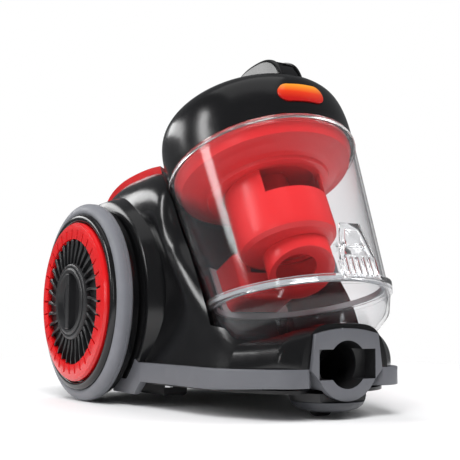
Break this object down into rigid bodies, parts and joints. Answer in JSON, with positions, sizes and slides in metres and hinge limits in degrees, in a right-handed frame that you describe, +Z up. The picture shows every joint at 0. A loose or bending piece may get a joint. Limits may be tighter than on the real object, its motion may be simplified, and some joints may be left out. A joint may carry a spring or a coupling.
{
  "type": "canister vacuum cleaner",
  "caption": "Bagless cylinder vacuum cleaner with a tilted clear bin, red cyclone, domed lid with carrying handle, two big rear wheels and a front castor.",
  "frame": {"origin": "on the floor, below the centre of the bounding box", "axes": "+Z up, the hose socket faces -Y, X runs along the rear axle and X = 0 is the casing's plane of symmetry"},
  "size_m": [0.2776, 0.371, 0.3175],
  "materials": {
    "black_gloss": "high-gloss black moulded ABS",
    "red_gloss": "gloss red moulded ABS",
    "red_cyclone": "satin red moulded ABS",
    "grey_plastic": "fine-textured mid-grey plastic",
    "tyre": "soft grey rubber",
    "clear_plastic": "clear polished polycarbonate",
    "seal": "grey silicone",
    "black_matte": "satin black plastic",
    "castor_grey": "dark grey textured plastic",
    "steel": "bright steel",
    "copper": "lacquered copper winding",
    "fan_plastic": "pressed aluminium",
    "filter": "foam and pleated felt",
    "board": "green circuit board",
    "badge": "plain orange enamel, no lettering"
  },
  "bodies": {
    "chassis": {"main_housing": "black_gloss", "top_cover": "red_gloss", "base_pan": "black_matte", "bumper_band": "grey_plastic", "hose_collar": "grey_plastic", "nose_cover": "black_gloss", "hose_duct": "black_matte", "duct_gasket": "seal", "motor_casing": "black_matte", "motor_bearings": "steel", "motor_stator": "copper", "motor_mounts": "seal", "motor_cradle": "black_matte", "reel_axle": "steel", "reel_spring_case": "steel", "cord_gland": "black_matte", "control_board": "board", "pedal_bracket": "black_matte", "pedal_springs": "steel", "base_screws": "steel", "wheel_hubs": "black_matte", "exhaust_filters": "filter"},
    "bin": {"bin_wall": "clear_plastic", "bottom_ring": "clear_plastic", "rim_seal": "clear_plastic", "flap_gasket": "seal", "inlet_seal": "seal", "inlet_scoop": "red_cyclone", "separator_flange": "red_cyclone", "cyclone_body": "red_cyclone", "cyclone_nozzle": "red_cyclone", "inner_column": "red_cyclone", "premotor_filter": "filter", "hinge_pins": "steel"},
    "flap": {"bottom_flap": "clear_plastic"},
    "clip": {"flap_clip": "clear_plastic"},
    "lid": {"lid_shell": "black_gloss", "carry_handle": "black_gloss", "grip_insert": "grey_plastic", "button_spring": "steel", "badge_plate": "badge"},
    "button": {"release_button": "black_gloss"},
    "castor": {"castor_dome": "castor_grey", "castor_axle": "steel"},
    "castor_roller": {"castor_wheel": "black_matte"},
    "left_wheel": {"left_tyre": "tyre", "left_wheel_rim": "black_gloss"},
    "right_wheel": {"right_tyre": "tyre", "right_wheel_rim": "black_gloss"},
    "left_cover": {"left_cover_disc": "red_gloss", "left_cover_grille": "black_matte", "left_cover_knob": "black_matte"},
    "right_cover": {"right_cover_disc": "red_gloss", "right_cover_grille": "black_matte", "right_cover_knob": "black_matte"},
    "fan": {"motor_rotor": "steel", "fan_impeller": "fan_plastic"},
    "reel": {"reel_drum": "black_matte"},
    "power_lever": {"power_pedal": "red_gloss"},
    "rewind_lever": {"rewind_pedal": "red_gloss"}
  },
  "joints": [
    {"name": "bin_lift", "type": "slide", "parent": "chassis", "child": "bin", "axis": [0, 0, 1], "range_m": [0, 0.2]},
    {"name": "flap_hinge", "type": "hinge", "parent": "bin", "child": "flap", "pos_m": [0, -0.01508, 0.07506], "axis": [1, 0, 0], "range_deg": [0, 60]},
    {"name": "clip_press", "type": "hinge", "parent": "bin", "child": "clip", "pos_m": [0, -0.16793, 0.13978], "axis": [-1, 0, 0], "range_deg": [0, 8], "stiffness_Nm_per_rad": 0.3, "springref_deg": -2.86},
    {"name": "lid_lift", "type": "slide", "parent": "bin", "child": "lid", "axis": [0, 0.4399, 0.898], "range_m": [0, 0.08]},
    {"name": "button_press", "type": "slide", "parent": "lid", "child": "button", "axis": [0, -0.4399, -0.898], "range_m": [0, 0.004], "stiffness_N_per_m": 600, "springref_m": -0.002, "deforming": ["button_spring"]},
    {"name": "castor_swivel", "type": "hinge", "parent": "chassis", "child": "castor", "pos_m": [0, -0.137, 0.02], "axis": [0, 0, 1], "continuous": true},
    {"name": "castor_roll", "type": "hinge", "parent": "castor", "child": "castor_roller", "pos_m": [0, -0.128, 0.0085], "axis": [1, 0, 0], "continuous": true},
    {"name": "left_wheel_spin", "type": "hinge", "parent": "chassis", "child": "left_wheel", "pos_m": [0, 0.0905, 0.095], "axis": [1, 0, 0], "continuous": true},
    {"name": "right_wheel_spin", "type": "hinge", "parent": "chassis", "child": "right_wheel", "pos_m": [0, 0.0905, 0.095], "axis": [1, 0, 0], "continuous": true},
    {"name": "left_cover_twist", "type": "hinge", "parent": "chassis", "child": "left_cover", "pos_m": [0, 0.0905, 0.095], "axis": [-1, 0, 0], "range_deg": [0, 25]},
    {"name": "right_cover_twist", "type": "hinge", "parent": "chassis", "child": "right_cover", "pos_m": [0, 0.0905, 0.095], "axis": [1, 0, 0], "range_deg": [0, 25]},
    {"name": "fan_spin", "type": "hinge", "parent": "chassis", "child": "fan", "pos_m": [0, 0.082, 0.09], "axis": [1, 0, 0], "continuous": true},
    {"name": "reel_spin", "type": "hinge", "parent": "chassis", "child": "reel", "pos_m": [0, 0.146, 0.092], "axis": [0, 1, 0], "continuous": true},
    {"name": "power_press", "type": "hinge", "parent": "chassis", "child": "power_lever", "pos_m": [0, 0.112, 0.203], "axis": [-1, 0, 0], "range_deg": [0, 5], "stiffness_Nm_per_rad": 1.2, "springref_deg": -4.58},
    {"name": "rewind_press", "type": "hinge", "parent": "chassis", "child": "rewind_lever", "pos_m": [0, 0.112, 0.203], "axis": [-1, 0, 0], "range_deg": [0, 5], "stiffness_Nm_per_rad": 1.2, "springref_deg": -4.58}
  ],
  "couplings": [
    {"joint": "flap_hinge", "follows": "bin_lift", "rad_per_m": 5.23}
  ]
}
